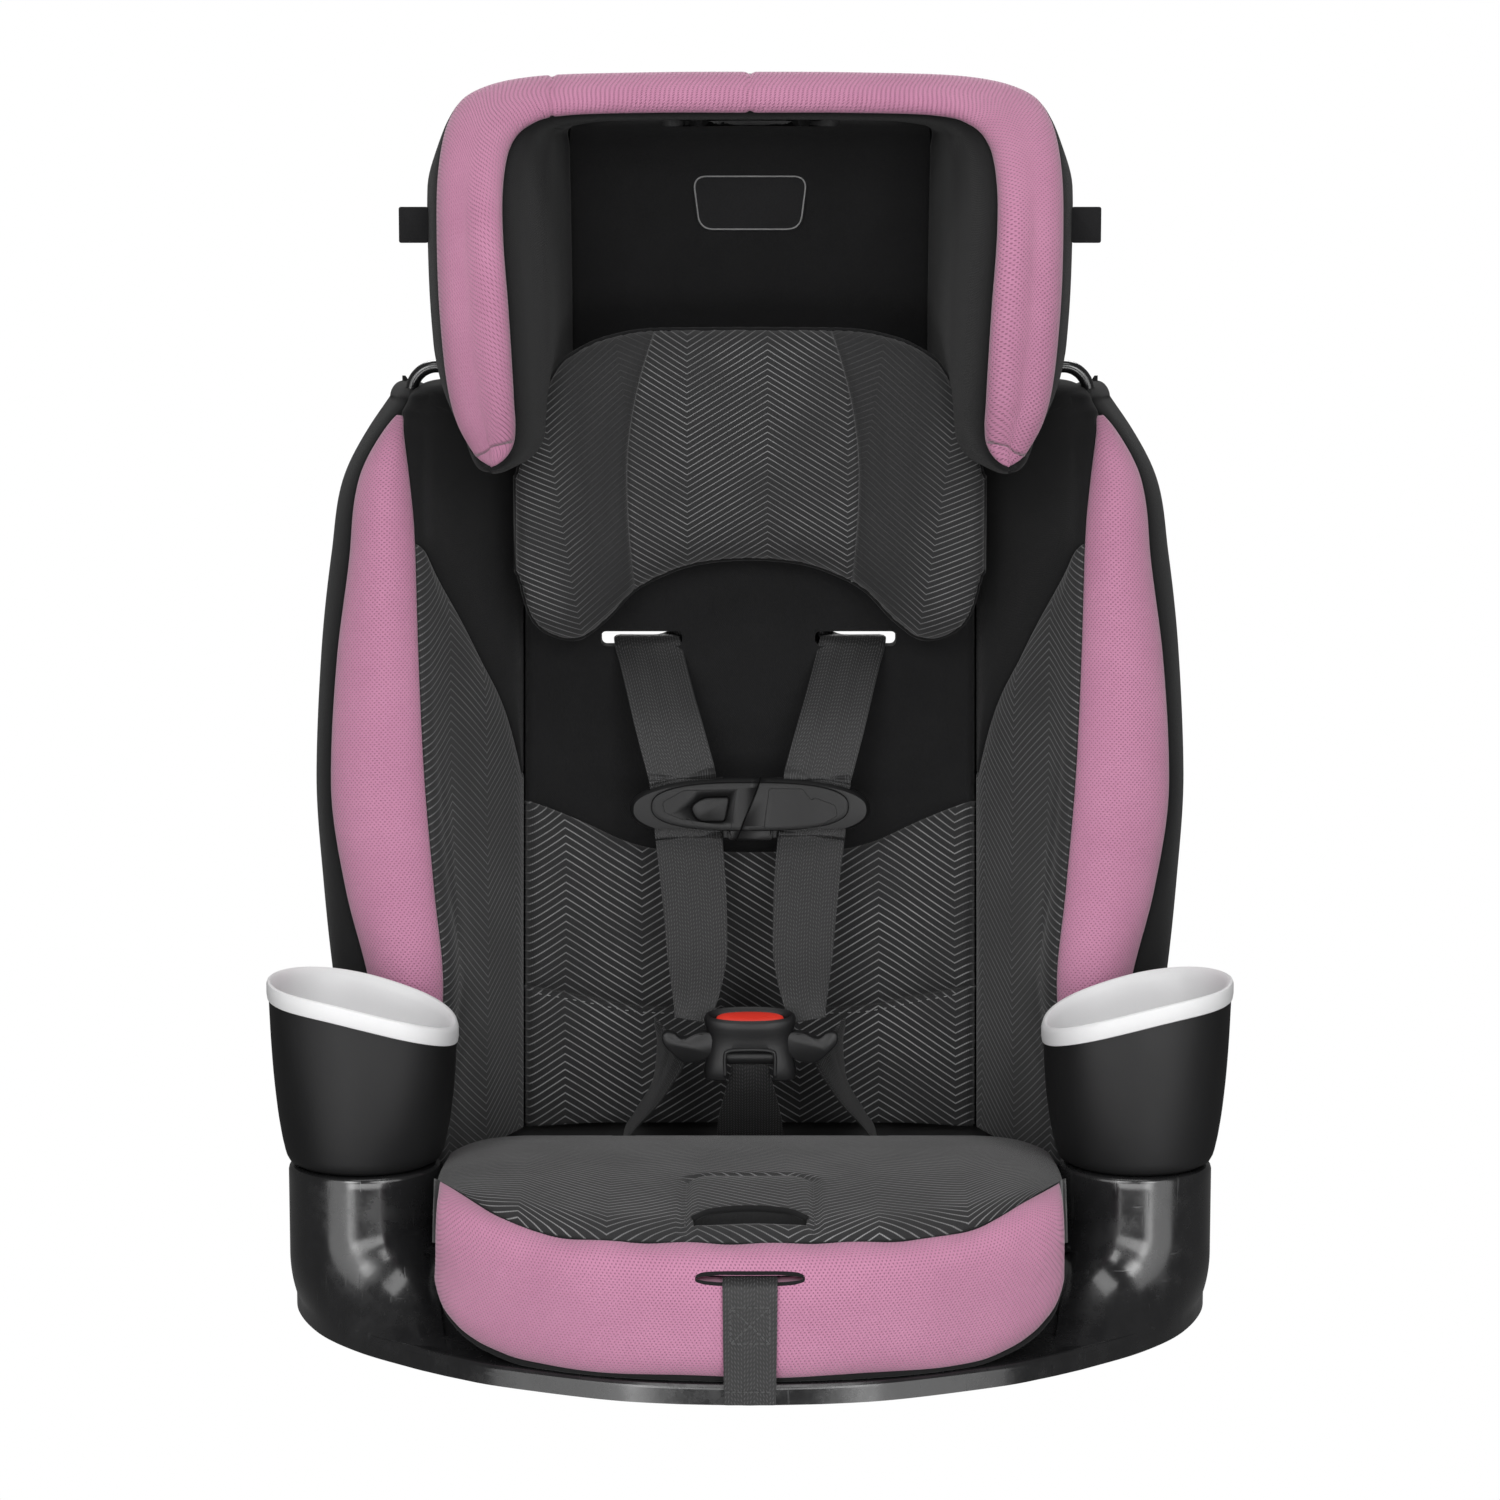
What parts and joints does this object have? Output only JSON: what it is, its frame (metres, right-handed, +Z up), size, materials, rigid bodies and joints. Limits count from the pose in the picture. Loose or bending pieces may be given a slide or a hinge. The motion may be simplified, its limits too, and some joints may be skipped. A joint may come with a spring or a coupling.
{
  "type": "booster seat",
  "caption": "High-backed child booster seat with a winged headrest, padded bucket, two cup holders and a five-point webbing harness.",
  "frame": {"origin": "on the floor, under the middle of the seat's bounding box", "axes": "+Z up, the seat faces -Y, +X is the right side as seen from the front"},
  "size_m": [0.521, 0.4798, 0.6695],
  "materials": {
    "shell_black": "moulded black plastic, satin to glossy, lightly scuffed",
    "cover_black": "plain black knit fabric over thin wadding",
    "cover_chevron": "black knit fabric with thin grey chevron lines",
    "cover_pink": "dusty pink spacer mesh over thin wadding",
    "foam_grey": "grey expanded foam",
    "webbing_black": "black herringbone polyester webbing",
    "cup_grey": "light grey moulded plastic",
    "buckle_black": "black nylon, finely textured",
    "button_red": "red plastic",
    "steel": "pressed steel",
    "badge_grey": "plain patch or tag with no mark"
  },
  "bodies": {
    "root": {"adjuster_frame": "steel", "adjuster_pin": "steel", "adjuster_strap": "webbing_black", "back_pad_upper": "cover_black", "back_shell": "shell_black", "base_shell": "shell_black", "base_side_left": "shell_black", "base_side_right": "shell_black", "belt_guide_left": "shell_black", "belt_guide_right": "shell_black", "bolster_pad_left": "cover_pink", "bolster_pad_right": "cover_pink", "buckle_back": "buckle_black", "buckle_front": "buckle_black", "chest_clip_left": "buckle_black", "crotch_anchor": "steel", "crotch_strap": "webbing_black", "cup_left": "shell_black", "cup_liner_left": "cup_grey", "cup_liner_right": "cup_grey", "cup_pedestal_left": "shell_black", "cup_pedestal_right": "shell_black", "cup_right": "shell_black", "cup_screw_left": "steel", "cup_screw_right": "steel", "head_badge": "badge_grey", "head_center_pad": "cover_black", "head_foam_left": "foam_grey", "head_foam_right": "foam_grey", "head_lining": "cover_black", "head_outer_cover": "cover_black", "head_pillow": "cover_chevron", "head_shell": "shell_black", "head_trim": "cover_pink", "lap_anchor_left": "steel", "lap_anchor_right": "steel", "lap_strap_left": "webbing_black", "lap_strap_right": "webbing_black", "lower_back_pad": "cover_chevron", "lumbar_pad": "cover_chevron", "neck_panel": "shell_black", "pull_strap": "webbing_black", "rear_brace_lower": "shell_black", "rear_brace_upper": "shell_black", "seat_apron": "cover_pink", "seat_foam": "foam_grey", "seat_pad": "cover_chevron", "shoulder_strap_left": "webbing_black", "shoulder_strap_right_lower": "webbing_black", "shoulder_strap_right_upper": "webbing_black", "side_tag_left": "badge_grey", "side_tag_right": "badge_grey", "splitter_plate": "steel", "tongue_left": "steel", "tongue_right": "steel"},
    "buckle_button_body": {"buckle_button": "button_red"},
    "clip_half_body": {"chest_clip_right": "buckle_black", "shoulder_strap_right_clip": "webbing_black"},
    "clip_button_body": {"chest_clip_button": "buckle_black"},
    "lever_body": {"adjuster_lever": "buckle_black"}
  },
  "joints": [
    {"name": "buckle_button_press", "type": "slide", "parent": "root", "child": "buckle_button_body", "axis": [0, 0, -1], "range_m": [0, 0.004], "stiffness_N_per_m": 600},
    {"name": "chest_clip_button_press", "type": "slide", "parent": "root", "child": "clip_button_body", "axis": [0, 1, 0], "range_m": [0, 0.002], "stiffness_N_per_m": 900},
    {"name": "chest_clip_release", "type": "slide", "parent": "root", "child": "clip_half_body", "axis": [1, 0, 0], "range_m": [0, 0.022]},
    {"name": "adjuster_lever_press", "type": "hinge", "parent": "root", "child": "lever_body", "pos_m": [0, -0.18, 0.06], "axis": [1, 0, 0], "range_deg": [0, 15], "stiffness_Nm_per_rad": 0.4}
  ]
}
